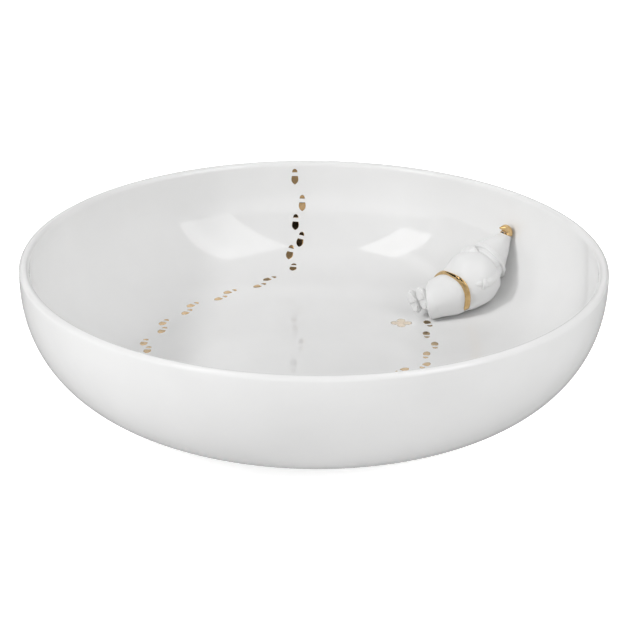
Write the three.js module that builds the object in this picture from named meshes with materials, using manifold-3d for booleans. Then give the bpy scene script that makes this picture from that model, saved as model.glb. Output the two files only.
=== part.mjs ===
// Porcelain Christmas bowl: a shallow bowl, a reclining gnome on its wall and a trail of gold shoe prints.
// Millimetres, +Z up, origin in the middle of the foot's underside.
import * as THREE from 'three';
import { mergeVertices } from 'three/addons/utils/BufferGeometryUtils.js';
import Module from 'manifold-3d';

const wasm = await Module();
wasm.setup();

// Bowl
const rimRadius = 125;
const bowlHeight = 62;
const wallThickness = 4.2;
const floorThickness = 4.5;
const baseRadius = 60;
const floorRadius = 58;
const wallRoundness = 2.3;
const footHeight = 2;
const footWidth = 6;
const footInset = 1.5;
const footRounding = 0.6;
const bowlSegments = 64;
const wallSteps = 14;
const lipSteps = 6;

// Clearances
const wallClearance = 0.5;
const partClearance = 0.3;

// Gnome's spine: stations from the hem to the hat's end.
// down is measured along the inside wall from the rim, side along the rim, radius is the body's.
const gnomeAzimuth = 41;
const spineStations = [
  { down: 66.5, side: 10.5, radius: 8.2 },
  { down: 57.5, side: 4, radius: 10.4 },
  { down: 46.5, side: -0.5, radius: 12.2 },
  { down: 36.5, side: -0.5, radius: 9.6 },
  { down: 29, side: 0.5, radius: 7.8 },
  { down: 22.5, side: 0.5, radius: 5.2 },
  { down: 18, side: 0.5, radius: 2.8 },
];

// The face and the limbs are turned about the spine, with the face towards the bowl's left.
const gnomeTurn = -30;

// Coat and belt
const hemStation = 0;
const hemReach = 2.4;
const hemRadius = 7.9;
const hemSlant = 16;
const hemTurn = 138;
const collarStation = 2.65;
const hemCap = 1.5;
const collarCap = 4;
const coatSteps = 12;
const coatSides = 24;
const beltStation = 0.875;
const beltWaves = [
  { count: 1, lift: 0.53, turn: 166 },
  { count: 2, lift: 0.24, turn: 120 },
];
const beltWidth = 2.1;
const beltThickness = 0.8;
const beltSides = 32;

// Head, beard, nose and hat
const headStation = 3.05;
const headRadius = 8.6;
const noseStation = 3.35;
const noseRadius = 2.1;
const noseSink = 0.2;
const beardStation = 2.5;
const beardLength = 9.5;
const beardWidth = 12;
const beardDepth = 8;
const beardSink = 2.2;
const brimStation = 3.51;
const brimTilt = 17;
const brimRoll = 0.7;
const brimWidth = 2.6;
const brimCap = 1;
const hatEndCap = 0.6;
const hatSteps = 12;
const hatSides = 20;
const hatTipReach = 2.8;
const hatTipBend = 5.8;
const hatTipDroop = 2.4;
const hatTipEnd = 0.4;
const hatTipSteps = 8;
const hatTipSides = 12;
const hatTipKnee = { bend: 0.1, reach: 0.7 };
const hatTipCrook = { bend: 0.45, reach: 1 };
const eggSides = 18;
const eggSteps = 12;

// Arms: places from shoulder to wrist. turn goes from the flank to the front, sink is into the coat.
const arms = [
  {
    name: 'left',
    side: 1,
    places: [
      { station: 2.75, turn: -30, sink: 1.4 },
      { station: 2.45, turn: -28, sink: 1.3 },
      { station: 2.2, turn: -24, sink: 1.2 },
      { station: 2.05, turn: -19, sink: 1.2 },
      { station: 1.97, turn: -14, sink: 1.2 },
    ],
  },
  {
    name: 'right',
    side: -1,
    places: [
      { station: 2.75, turn: 2, sink: 1.4 },
      { station: 2.45, turn: 4, sink: 1.3 },
      { station: 2.2, turn: 8, sink: 1.2 },
      { station: 2.05, turn: 13, sink: 1.2 },
      { station: 1.97, turn: 18, sink: 1.2 },
    ],
  },
];
const sleeveRadius = 2.7;
const shoulderCap = 2;
const cuffCap = 0.8;
const armSteps = 10;
const armSides = 12;
const mittenRadius = 2.6;
const mittenReach = 1.5;
const mittenSides = 12;
const mittenSteps = 8;

// Boots: they stand toe up before the hem, with the flat soles away from it
const bootLength = 11;
const bootWidth = 4.9;
const soleDepth = 1.5;
const instepDepth = 3.2;
const bootGap = 0.4;
const bootReach = 3.1;
const bootRise = 2.2;
const legTurn = 8;
const bootTurn = 58;
const bootWaist = 0.16;
const waistHeight = -0.25;
const waistSpread = 0.05;
const shaftRadius = 2.5;
const shaftDrop = 1.8;
const shaftSink = 4;
const footSteps = 8;
const footSides = 14;

// Low on the wall and on the floor, prints are squeezed so that they look level from the front.
const levelFrom = 44;
const levelTo = 52;
const sightAngle = 21.7;

// Gold shoe prints. Routes are [azimuth in degrees, distance down the inside wall from the rim].
// stagger moves right feet ahead of left ones, and a pace below 1 shortens the steps on the way.
const soleLength = 4.1;
const soleWidth = 3.5;
const heelLength = 1.8;
const heelWidth = 2.5;
const instepGap = 1.8;
const soleBack = 0.78;
const soleBulge = { width: 1.1, length: 0.45 };
const soleToe = { width: 0.95, length: 0.8 };
const heelBulge = 1.3;
const outlineSteps = 5;
const stanceWidth = 3.2;
const printThickness = 0.25;
const printGap = 0.65;
const rightFoot = 1;
const leftFoot = -1;
const printStretches = [
  {
    name: 'wall',
    count: 6,
    pace: 0.77,
    stagger: 0,
    firstFoot: rightFoot,
    route: [[93.7, 6.5], [93.6, 20], [93.9, 32], [95.6, 44], [96.6, 50]],
  },
  {
    name: 'floor',
    count: 10,
    pace: 1,
    stagger: 1.5,
    firstFoot: rightFoot,
    route: [[101.8, 55.9], [110.7, 60], [121, 62.8], [131, 64.9], [142, 68.2], [152.5, 71], [165, 74]],
  },
  {
    name: 'return',
    count: 6,
    pace: 1,
    stagger: 0,
    firstFoot: leftFoot,
    route: [[9.8, 110], [17.6, 100.5], [27.3, 93.2], [37, 86], [44.3, 79], [49.1, 75.5]],
  },
];
const cloverAzimuth = 55.7;
const cloverDown = 81;
const cloverRadius = 4.8;
const cloverHeart = 0.22;
const cloverFullness = 0.45;
const cloverLeaves = 4;
const cloverPoints = 40;

const porcelain = new THREE.MeshStandardMaterial({ color: 0xf1f1ef, roughness: 0.12, metalness: 0 });
const gold = new THREE.MeshStandardMaterial({ color: 0xc89a4b, roughness: 0.15, metalness: 1 });

const lipHeight = bowlHeight - wallThickness / 2;
const floorHeight = footHeight + floorThickness;
const innerRimRadius = rimRadius - wallThickness;
const quarterTurn = Math.PI / 2;
const fullTurn = Math.PI * 2;
const radians = THREE.MathUtils.degToRad;

// A wall curve: a quarter of a superellipse from the flat middle up to the lip.
function wallCurve(flatRadius, topRadius, bottom, share) {
  const angle = share * quarterTurn;
  const power = 2 / wallRoundness;
  const radius = flatRadius + (topRadius - flatRadius) * Math.sin(angle) ** power;
  const height = lipHeight - (lipHeight - bottom) * Math.cos(angle) ** power;
  return new THREE.Vector2(radius, height);
}

function outerWall(share) {
  return wallCurve(baseRadius, rimRadius, footHeight, share);
}

function innerWall(share) {
  return wallCurve(floorRadius, innerRimRadius, floorHeight, share);
}

// The inside profile as a path with its lengths, from the floor's middle to the lip.
const insidePath = [new THREE.Vector2(0, floorHeight)];
const pathSamples = 400;
for (let i = 0; i <= pathSamples; i += 1) {
  insidePath.push(innerWall(i / pathSamples));
}
const insideLengths = [0];
for (let i = 1; i < insidePath.length; i += 1) {
  insideLengths.push(insideLengths[i - 1] + insidePath[i].distanceTo(insidePath[i - 1]));
}
const insideLength = insideLengths[insideLengths.length - 1];

function insideProfile(down) {
  const length = THREE.MathUtils.clamp(insideLength - down, 0, insideLength);
  let i = 1;
  while (i < insidePath.length - 1 && insideLengths[i] < length) {
    i += 1;
  }
  const share = (length - insideLengths[i - 1]) / (insideLengths[i] - insideLengths[i - 1]);
  const point = insidePath[i - 1].clone().lerp(insidePath[i], share);
  const along = insidePath[i].clone().sub(insidePath[i - 1]).normalize();
  return { point, along };
}

// A place on the inside surface: its point and its normal.
function insidePlace(azimuth, down) {
  const { point, along } = insideProfile(down);
  const outward = new THREE.Vector3(Math.cos(azimuth), Math.sin(azimuth), 0);
  const position = outward.clone().multiplyScalar(point.x).setZ(point.y);
  const normal = outward.clone().multiplyScalar(-along.y).setZ(along.x);
  return { position, normal };
}

function latheZ(points) {
  return new THREE.LatheGeometry(points, bowlSegments).rotateX(quarterTurn);
}

function bowlGeometry() {
  const footOuter = baseRadius - footInset;
  const footInner = footOuter - footWidth;
  const profile = [
    new THREE.Vector2(0, footHeight),
    new THREE.Vector2(footInner, footHeight),
    new THREE.Vector2(footInner, footRounding),
    new THREE.Vector2(footInner + footRounding, 0),
    new THREE.Vector2(footOuter - footRounding, 0),
    new THREE.Vector2(footOuter, footRounding),
    new THREE.Vector2(footOuter, footHeight),
  ];
  for (let i = 0; i <= wallSteps; i += 1) {
    profile.push(outerWall(i / wallSteps));
  }
  for (let i = 1; i < lipSteps; i += 1) {
    const angle = (Math.PI * i) / lipSteps;
    const radius = rimRadius - (wallThickness / 2) * (1 - Math.cos(angle));
    profile.push(new THREE.Vector2(radius, lipHeight + (wallThickness / 2) * Math.sin(angle)));
  }
  for (let i = wallSteps; i >= 0; i -= 1) {
    profile.push(innerWall(i / wallSteps));
  }
  profile.push(new THREE.Vector2(0, floorHeight));
  return latheZ(profile);
}

// The room inside the bowl, held off the wall by the clearance and open far above the rim.
function insideRoomGeometry() {
  const profile = [new THREE.Vector2(0, floorHeight + wallClearance)];
  const halfStep = 0.5 / wallSteps;
  for (let i = 0; i <= wallSteps; i += 1) {
    const share = i / wallSteps;
    const point = innerWall(share);
    const before = innerWall(Math.max(0, share - halfStep));
    const after = innerWall(Math.min(1, share + halfStep));
    const along = after.sub(before).normalize();
    profile.push(new THREE.Vector2(point.x - along.y * wallClearance, point.y + along.x * wallClearance));
  }
  const top = bowlHeight * 2;
  profile.push(new THREE.Vector2(innerRimRadius - wallClearance, top), new THREE.Vector2(0, top));
  return latheZ(profile);
}

// A closed skin over rings of points, each ring with as many points, with a pole at each end.
function skinGeometry(rings, startPole, endPole) {
  const sides = rings[0].length;
  const points = [startPole, ...rings.flat(), endPole];
  const endIndex = points.length - 1;
  const lastRing = 1 + (rings.length - 1) * sides;
  const triangles = [];
  for (let k = 0; k < sides; k += 1) {
    const next = (k + 1) % sides;
    triangles.push(0, 1 + next, 1 + k);
    for (let i = 0; i < rings.length - 1; i += 1) {
      const a = 1 + i * sides;
      const b = a + sides;
      triangles.push(a + k, a + next, b + next, a + k, b + next, b + k);
    }
    triangles.push(lastRing + k, lastRing + next, endIndex);
  }
  const geometry = new THREE.BufferGeometry().setFromPoints(points);
  geometry.setIndex(triangles);
  return geometry;
}

// A closed hoop: rings of points round a loop, joined end to end.
function hoopGeometry(rings) {
  const sides = rings[0].length;
  const triangles = [];
  for (let i = 0; i < rings.length; i += 1) {
    const a = i * sides;
    const b = ((i + 1) % rings.length) * sides;
    for (let k = 0; k < sides; k += 1) {
      const next = (k + 1) % sides;
      triangles.push(a + k, b + next, b + k, a + k, a + next, b + next);
    }
  }
  const geometry = new THREE.BufferGeometry().setFromPoints(rings.flat());
  geometry.setIndex(triangles);
  return geometry;
}

// Solids for cutting
const mergeDistance = 1e-4;

function solid(geometry) {
  const bare = geometry.clone();
  bare.deleteAttribute('normal');
  bare.deleteAttribute('uv');
  const merged = mergeVertices(bare, mergeDistance);
  const corners = merged.index.array;
  const kept = [];
  for (let i = 0; i < corners.length; i += 3) {
    const [a, b, c] = [corners[i], corners[i + 1], corners[i + 2]];
    if (a !== b && b !== c && c !== a) {
      kept.push(a, b, c);
    }
  }
  const vertProperties = new Float32Array(merged.attributes.position.array);
  return new wasm.Manifold(new wasm.Mesh({ numProp: 3, vertProperties, triVerts: new Uint32Array(kept) }));
}

function solidGeometry(body) {
  const mesh = body.getMesh();
  const geometry = new THREE.BufferGeometry();
  geometry.setAttribute('position', new THREE.BufferAttribute(new Float32Array(mesh.vertProperties), 3));
  geometry.setIndex(new THREE.BufferAttribute(new Uint32Array(mesh.triVerts), 1));
  return geometry;
}

const insideRoom = solid(insideRoomGeometry());

// A piece of the gnome: kept inside the bowl and cut by the pieces that it sits on.
function gnomePiece(geometry, ...neighbours) {
  let body = solid(geometry).intersect(insideRoom);
  for (const neighbour of neighbours) {
    body = body.subtract(solid(neighbour));
  }
  return solidGeometry(body);
}

// The gnome's spine
const stationCurve = new THREE.CatmullRomCurve3(
  spineStations.map(({ down, side, radius }) => new THREE.Vector3(down, side, radius)),
);
const lastStation = spineStations.length - 1;
const stationStep = 0.02;

function spineCentre(station) {
  const at = stationCurve.getPoint(THREE.MathUtils.clamp(station / lastStation, 0, 1));
  const rimTurn = at.y / insideProfile(at.x).point.x;
  const place = insidePlace(radians(gnomeAzimuth) + rimTurn, at.x);
  const centre = place.position.clone().addScaledVector(place.normal, at.z + wallClearance);
  return { centre, normal: place.normal, radius: at.z };
}

// The body's frame at a station: towards the hat, to its left and out of its front.
function spineFrame(station) {
  const here = THREE.MathUtils.clamp(station, stationStep, lastStation - stationStep);
  const { centre, normal, radius } = spineCentre(station);
  const ahead = spineCentre(here + stationStep).centre;
  const behind = spineCentre(here - stationStep).centre;
  const towards = ahead.clone().sub(behind).normalize();
  const left = towards.clone().cross(normal).normalize();
  const front = left.clone().cross(towards).normalize();
  const stationLength = ahead.distanceTo(behind) / (2 * stationStep);
  return { centre, towards, left, front, radius, stationLength };
}

// The gnome's own frame at a station
function gnomeFrame(station) {
  const frame = spineFrame(station);
  frame.left.applyAxisAngle(frame.towards, radians(gnomeTurn));
  frame.front.applyAxisAngle(frame.towards, radians(gnomeTurn));
  return frame;
}

function framePoint(frame, left, front, along = 0) {
  return frame.centre.clone()
    .addScaledVector(frame.left, left)
    .addScaledVector(frame.front, front)
    .addScaledVector(frame.towards, along);
}

function ringPoints(frame, radius, sides, along = 0) {
  const ring = [];
  for (let k = 0; k < sides; k += 1) {
    const angle = (fullTurn * k) / sides;
    ring.push(framePoint(frame, -Math.cos(angle) * radius, Math.sin(angle) * radius, along));
  }
  return ring;
}

// A round body over a run of frames, with a rounded cap at each end.
const capShares = [0.85, 0.5];

function roundBody(frames, startCap, endCap, sides) {
  const capAngles = capShares.map((share) => share * quarterTurn);
  const first = frames[0];
  const last = frames[frames.length - 1];
  const startRings = capAngles.map((angle) =>
    ringPoints(first, first.radius * Math.cos(angle), sides, -startCap * Math.sin(angle)));
  const endRings = capAngles.toReversed().map((angle) =>
    ringPoints(last, last.radius * Math.cos(angle), sides, endCap * Math.sin(angle)));
  const middleRings = frames.map((frame) => ringPoints(frame, frame.radius, sides));
  const startPole = framePoint(first, 0, 0, -startCap);
  const endPole = framePoint(last, 0, 0, endCap);
  return skinGeometry([...startRings, ...middleRings, ...endRings], startPole, endPole);
}

function routeFrames(route, steps, radiusAt) {
  const frames = [];
  const turned = route.computeFrenetFrames(steps, false);
  for (let i = 0; i <= steps; i += 1) {
    frames.push({
      centre: route.getPointAt(i / steps),
      towards: turned.tangents[i],
      left: turned.normals[i],
      front: turned.normals[i].clone().cross(turned.tangents[i]),
      radius: radiusAt(i / steps),
    });
  }
  return frames;
}

// The hem's frame: straight on past the coat's lowest station, and slanted to be longest on the wall.
function hemFrame() {
  const frame = spineFrame(hemStation);
  frame.centre = framePoint(frame, 0, 0, -hemReach);
  const axis = frame.left.clone().applyAxisAngle(frame.towards, radians(hemTurn));
  for (const way of [frame.towards, frame.left, frame.front]) {
    way.applyAxisAngle(axis, radians(hemSlant));
  }
  return frame;
}

function coatGeometry(grow = 0) {
  const frames = [{ ...hemFrame(), radius: hemRadius + grow }];
  for (let i = 0; i <= coatSteps; i += 1) {
    const frame = spineFrame(hemStation + ((collarStation - hemStation) * i) / coatSteps);
    frames.push({ ...frame, radius: frame.radius + grow });
  }
  return roundBody(frames, hemCap + grow, collarCap + grow, coatSides);
}

// The belt hangs aslant: nearest to the hat in front of the left flank.
function beltMiddle(angle) {
  let middle = beltStation;
  for (const { count, lift, turn } of beltWaves) {
    middle += lift * Math.cos(count * (angle - radians(turn)));
  }
  return middle;
}

function beltGeometry(grow = 0) {
  const rings = [];
  const sideStep = fullTurn / beltSides;
  for (let k = 0; k < beltSides; k += 1) {
    const angle = sideStep * k;
    const [across, front] = [-Math.cos(angle), Math.sin(angle)];
    const middle = beltMiddle(angle);
    const { stationLength, radius } = spineFrame(middle);
    const climb = (beltMiddle(angle + sideStep) - beltMiddle(angle - sideStep)) / (2 * sideStep);
    const widening = Math.hypot(1, (climb * stationLength) / radius);
    const halfWidth = ((beltWidth / 2 + grow) * widening) / stationLength;
    const corner = (offset, lift) => {
      const frame = spineFrame(middle + offset);
      return framePoint(frame, across * (frame.radius + lift), front * (frame.radius + lift));
    };
    const inner = partClearance;
    const outer = partClearance + beltThickness + grow;
    rings.push([
      corner(-halfWidth, inner),
      corner(halfWidth, inner),
      corner(halfWidth, outer),
      corner(-halfWidth, outer),
    ]);
  }
  return hoopGeometry(rings);
}

// An egg-shaped body with its axes along the gnome's frame.
function eggGeometry(station, front, halfLength, halfWidth, halfDepth) {
  const frame = gnomeFrame(station);
  const axes = new THREE.Matrix4().makeBasis(frame.left, frame.front, frame.towards.clone().negate());
  return new THREE.SphereGeometry(1, eggSides, eggSteps)
    .rotateX(quarterTurn)
    .scale(halfWidth, halfDepth, halfLength)
    .applyMatrix4(axes.setPosition(framePoint(frame, 0, front)));
}

function headGeometry(grow = 0) {
  const radius = headRadius + grow;
  return eggGeometry(headStation, 0, radius, radius, radius);
}

function beardGeometry(grow = 0) {
  const front = spineFrame(beardStation).radius - beardSink;
  return eggGeometry(
    beardStation, front, beardLength / 2 + grow, beardWidth / 2 + grow, beardDepth / 2 + grow,
  );
}

function noseGeometry(grow = 0) {
  const radius = noseRadius + grow;
  return eggGeometry(noseStation, headRadius - noseSink, radius, radius, radius);
}

// The hat, with its brim tilted up over the face and a tilt that fades towards its end.
function hatGeometry(grow = 0) {
  const length = spineFrame(brimStation).stationLength * (lastStation - brimStation);
  const rollShare = brimWidth / length;
  const frames = [];
  for (let i = 0; i <= hatSteps; i += 1) {
    const share = i / hatSteps;
    const roll = share < rollShare ? brimRoll * Math.cos((quarterTurn * share) / rollShare) : 0;
    const frame = gnomeFrame(brimStation + (lastStation - brimStation) * share);
    const tilt = -radians(brimTilt) * (1 - share) ** 2;
    frame.front.applyAxisAngle(frame.left, tilt);
    frame.towards.applyAxisAngle(frame.left, tilt);
    frames.push({ ...frame, radius: frame.radius + roll + grow });
  }
  return roundBody(frames, brimCap + grow, hatEndCap + grow, hatSides);
}

// The hat's gold end: a cone that bends forward and droops.
function hatTipGeometry() {
  const base = spineFrame(lastStation);
  const start = hatEndCap + partClearance;
  const route = new THREE.CatmullRomCurve3([
    framePoint(base, 0, 0, start),
    framePoint(base, 0, hatTipBend * hatTipKnee.bend, start + hatTipReach * hatTipKnee.reach),
    framePoint(base, 0, hatTipBend * hatTipCrook.bend, start + hatTipReach * hatTipCrook.reach),
    framePoint(base, 0, hatTipBend, start + hatTipReach - hatTipDroop),
  ]);
  const frames = [];
  for (let i = 0; i <= hatTipSteps; i += 1) {
    const share = i / hatTipSteps;
    const towards = route.getTangentAt(share);
    const front = base.left.clone().cross(towards).normalize();
    const radius = THREE.MathUtils.lerp(base.radius, hatTipEnd, share);
    frames.push({ centre: route.getPointAt(share), towards, left: base.left, front, radius });
  }
  return roundBody(frames, partClearance, hatTipEnd, hatTipSides);
}

// A sleeve from the shoulder to the wrist; side is 1 on the left and -1 on the right.
function armRoute({ side, places }) {
  return new THREE.CatmullRomCurve3(places.map(({ station, turn, sink }) => {
    const frame = gnomeFrame(station);
    const out = frame.radius - sink;
    return framePoint(frame, side * Math.cos(radians(turn)) * out, Math.sin(radians(turn)) * out);
  }));
}

function armGeometry(arm, grow = 0) {
  const frames = routeFrames(armRoute(arm), armSteps, () => sleeveRadius + grow);
  return roundBody(frames, shoulderCap + grow, cuffCap + grow, armSides);
}

function mittenGeometry(arm) {
  const route = armRoute(arm);
  const centre = route.getPointAt(1).addScaledVector(route.getTangentAt(1), mittenReach);
  return new THREE.SphereGeometry(mittenRadius, mittenSides, mittenSteps)
    .translate(centre.x, centre.y, centre.z);
}

// A foot in its own axes: X across, Y towards the hem and Z towards the toe.
function footGeometry() {
  const rings = [];
  for (let i = 1; i < footSteps; i += 1) {
    const height = -Math.cos((Math.PI * i) / footSteps);
    const bulge = Math.sqrt(1 - height * height);
    const waist = 1 - bootWaist * Math.exp(-((height - waistHeight) ** 2) / waistSpread);
    const ring = [];
    for (let k = 0; k < footSides; k += 1) {
      const angle = (fullTurn * k) / footSides;
      const across = (Math.cos(angle) * bootWidth * bulge * waist) / 2;
      const depth = Math.max(Math.sin(angle) * instepDepth, -soleDepth) * bulge;
      ring.push(new THREE.Vector3(across, depth, (height * bootLength) / 2));
    }
    rings.push(ring);
  }
  const heel = new THREE.Vector3(0, 0, -bootLength / 2);
  const toe = new THREE.Vector3(0, 0, bootLength / 2);
  return skinGeometry(rings, heel, toe);
}

function bootGeometry(side) {
  const hem = gnomeFrame(hemStation);
  const away = hem.towards.clone().negate();
  const leg = away.clone().applyAxisAngle(hem.front, radians(legTurn));
  const sole = away.clone().applyAxisAngle(hem.front, radians(bootTurn));
  const across = hem.front.clone().cross(sole);
  const middle = hem.centre.clone()
    .addScaledVector(leg, hemReach + hemCap + bootReach)
    .addScaledVector(hem.front, bootRise)
    .addScaledVector(across, (side * (bootWidth + bootGap)) / 2);
  const axes = new THREE.Matrix4().makeBasis(across, sole.clone().negate(), hem.front).setPosition(middle);
  const shaftLength = bootReach + shaftSink;
  const shaft = new THREE.CylinderGeometry(shaftRadius, shaftRadius, shaftLength, footSides)
    .translate(0, shaftLength / 2, -shaftDrop);
  return solidGeometry(solid(footGeometry()).add(solid(shaft))).applyMatrix4(axes);
}

// Flat gold pieces, drawn toe up
function soleShape() {
  const half = soleWidth / 2;
  const back = half * soleBack;
  const bulge = half * soleBulge.width;
  const toe = half * soleToe.width;
  const bulgeAt = soleLength * soleBulge.length;
  const toeAt = soleLength * soleToe.length;
  return new THREE.Shape()
    .moveTo(-back, 0)
    .lineTo(back, 0)
    .bezierCurveTo(bulge, bulgeAt, toe, toeAt, 0, soleLength)
    .bezierCurveTo(-toe, toeAt, -bulge, bulgeAt, -back, 0);
}

function heelShape() {
  const half = heelWidth / 2;
  return new THREE.Shape()
    .moveTo(half, 0)
    .bezierCurveTo(half, -heelLength * heelBulge, -half, -heelLength * heelBulge, -half, 0);
}

function cloverShape() {
  const points = [];
  for (let i = 0; i < cloverPoints; i += 1) {
    const angle = (fullTurn * i) / cloverPoints;
    const leaf = Math.abs(Math.cos((cloverLeaves * angle) / 2)) ** cloverFullness;
    const radius = cloverRadius * (cloverHeart + (1 - cloverHeart) * leaf);
    points.push(new THREE.Vector2(Math.cos(angle) * radius, Math.sin(angle) * radius));
  }
  return new THREE.Shape(points);
}

function plateGeometry(shape) {
  const options = { depth: printThickness, bevelEnabled: false, curveSegments: outlineSteps };
  return new THREE.ExtrudeGeometry(shape, options);
}

// The way on the surface that looks from the front like the given level way.
const sight = new THREE.Vector3(0, Math.cos(radians(sightAngle)), -Math.sin(radians(sightAngle)));

function levelWay(x, y, normal) {
  const way = new THREE.Vector3(x, y, 0);
  return way.addScaledVector(sight, -way.dot(normal) / sight.dot(normal));
}

// A seat on the inside surface with its Y axis along the given way and its Z axis off the surface.
function insideSeat(azimuth, down, forward) {
  const { position, normal } = insidePlace(azimuth, down);
  const across = forward.clone().cross(normal).normalize();
  const ahead = normal.clone().cross(across);
  const level = forward.clone().addScaledVector(sight, -forward.z / sight.z).normalize();
  const share = THREE.MathUtils.smoothstep(down, levelFrom, levelTo);
  across.lerp(levelWay(level.y, -level.x, normal), share);
  ahead.lerp(levelWay(level.x, level.y, normal), share);
  const place = position.addScaledVector(normal, printGap);
  return new THREE.Matrix4().makeBasis(across, ahead, normal).setPosition(place);
}

// Build
const part = new THREE.Group();

function addMesh(name, geometry, material) {
  const mesh = new THREE.Mesh(geometry, material);
  mesh.name = name;
  part.add(mesh);
}

const routeSamples = 240;
const lengthSlack = 1e-6;

function routePlaces(route) {
  const curve = new THREE.SplineCurve(route.map(([azimuth, down]) => new THREE.Vector2(azimuth, down)));
  const places = [];
  let length = 0;
  for (let i = 0; i <= routeSamples; i += 1) {
    const at = curve.getPoint(i / routeSamples);
    const azimuth = radians(at.x);
    const { position } = insidePlace(azimuth, at.y);
    length += i > 0 ? position.distanceTo(places[i - 1].position) : 0;
    places.push({ azimuth, down: at.y, position, length });
  }
  return places;
}

// A stretch of the trail: prints along its route, left and right in turn.
function addPrints({ name, count, pace, stagger, firstFoot, route }) {
  const places = routePlaces(route);
  const total = places[places.length - 1].length;
  for (let i = 0; i < count; i += 1) {
    const foot = i % 2 === 0 ? firstFoot : -firstFoot;
    const share = (i / (count - 1)) ** pace;
    const wanted = THREE.MathUtils.clamp(total * share + foot * stagger, 0, total - lengthSlack);
    const index = Math.max(1, places.findIndex(({ length }) => length >= wanted));
    const { azimuth, down, position } = places[index];
    const forward = position.clone().sub(places[index - 1].position).normalize();
    const seat = insideSeat(azimuth, down, forward);
    const aside = (foot * stanceWidth) / 2;
    const soleStart = -soleLength / 2;
    const sole = plateGeometry(soleShape()).translate(aside, soleStart, 0);
    const heel = plateGeometry(heelShape()).translate(aside, soleStart - instepGap, 0);
    addMesh(`${name}_print_sole_${i + 1}`, sole.applyMatrix4(seat), gold);
    addMesh(`${name}_print_heel_${i + 1}`, heel.applyMatrix4(seat), gold);
  }
}

function addClover() {
  const away = new THREE.Vector3(0, 1, 0);
  const seat = insideSeat(radians(cloverAzimuth), cloverDown, away);
  addMesh('clover_print', plateGeometry(cloverShape()).applyMatrix4(seat), gold);
}

function addGnome() {
  const coat = coatGeometry(partClearance);
  const head = headGeometry(partClearance);
  const hat = hatGeometry(partClearance);
  const beard = beardGeometry(partClearance);
  const nose = noseGeometry(partClearance);
  const belt = beltGeometry(partClearance);
  addMesh('gnome_coat', gnomePiece(coatGeometry()), porcelain);
  addMesh('gnome_head', gnomePiece(headGeometry(), coat), porcelain);
  addMesh('gnome_hat', gnomePiece(hatGeometry(), coat, head, nose), porcelain);
  addMesh('gnome_beard', gnomePiece(beardGeometry(), coat, head, hat, nose), porcelain);
  addMesh('gnome_nose', gnomePiece(noseGeometry(), coat, head), porcelain);
  addMesh('gnome_hat_tip', gnomePiece(hatTipGeometry(), hat), gold);
  addMesh('gnome_belt', gnomePiece(beltGeometry()), gold);
  for (const arm of arms) {
    const sleeve = armGeometry(arm, partClearance);
    const mitten = gnomePiece(mittenGeometry(arm), coat, beard, belt, sleeve);
    addMesh(`gnome_${arm.name}_arm`, gnomePiece(armGeometry(arm), coat, head, hat, beard, belt), porcelain);
    addMesh(`gnome_${arm.name}_mitten`, mitten, porcelain);
    addMesh(`gnome_${arm.name}_boot`, gnomePiece(bootGeometry(arm.side), coat), porcelain);
  }
}

addMesh('bowl', bowlGeometry(), porcelain);
addGnome();
printStretches.forEach(addPrints);
addClover();

export default part;
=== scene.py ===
# Porcelain Christmas bowl with a reclining gnome and a trail of gold shoe prints: the looks.
# Shapes are worked out in millimetres in the CAD frame and turned into metres when a mesh is made.
import math

import bmesh
import bpy
import numpy as np
from mathutils import Matrix, Vector


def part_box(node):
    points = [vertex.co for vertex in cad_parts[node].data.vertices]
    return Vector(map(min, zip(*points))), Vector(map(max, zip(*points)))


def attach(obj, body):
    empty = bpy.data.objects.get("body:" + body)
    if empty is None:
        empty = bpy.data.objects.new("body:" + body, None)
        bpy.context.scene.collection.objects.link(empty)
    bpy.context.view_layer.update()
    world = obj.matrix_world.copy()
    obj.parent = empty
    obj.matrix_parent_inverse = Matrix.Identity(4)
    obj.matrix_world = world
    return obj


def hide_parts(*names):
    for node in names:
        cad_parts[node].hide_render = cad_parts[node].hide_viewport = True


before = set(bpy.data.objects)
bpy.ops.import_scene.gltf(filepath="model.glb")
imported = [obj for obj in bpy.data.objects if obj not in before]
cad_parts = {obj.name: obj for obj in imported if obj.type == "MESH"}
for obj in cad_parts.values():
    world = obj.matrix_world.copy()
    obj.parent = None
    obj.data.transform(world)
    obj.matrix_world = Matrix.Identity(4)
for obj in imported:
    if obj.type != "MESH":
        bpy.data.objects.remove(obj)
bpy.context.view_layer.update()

MM = 0.001
QUARTER_TURN = math.pi / 2
FULL_TURN = math.pi * 2

# Bowl, as in the CAD source
bowl_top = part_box("bowl")[1] / MM
RIM_RADIUS = bowl_top.x
BOWL_HEIGHT = bowl_top.z
WALL_THICKNESS = 4.2
FLOOR_HEIGHT = 6.5
BASE_RADIUS = 60.0
FLOOR_RADIUS = 58.0
WALL_ROUNDNESS = 2.3
FOOT_HEIGHT = 2.0
FOOT_WIDTH = 6.0
FOOT_INSET = 1.5
FOOT_ROUNDING = 1.2
LIP_HEIGHT = BOWL_HEIGHT - WALL_THICKNESS / 2
INNER_RIM_RADIUS = RIM_RADIUS - WALL_THICKNESS
BOWL_SEGMENTS = 288
WALL_STEPS = 72
LIP_STEPS = 20
FOOT_STEPS = 4
UNDER_STEPS = 14
FLOOR_STEPS = 16
POLE_RADIUS = 4
STAND_SHARE = 0.3
WALL_CLEARANCE = 0.5
PRESS_GAP = 0.02

# Gnome's spine, as in the CAD source: down the wall from the rim, aside along the rim, radius
GNOME_AZIMUTH = math.radians(41)
SPINE_STATIONS = np.array([
    (66.5, 10.5, 8.2),
    (57.5, 4, 10.4),
    (46.5, -0.5, 12.2),
    (36.5, -0.5, 9.6),
    (29, 0.5, 7.8),
    (22.5, 0.5, 5.2),
    (18, 0.5, 2.8),
])
LAST_STATION = len(SPINE_STATIONS) - 1


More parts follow.
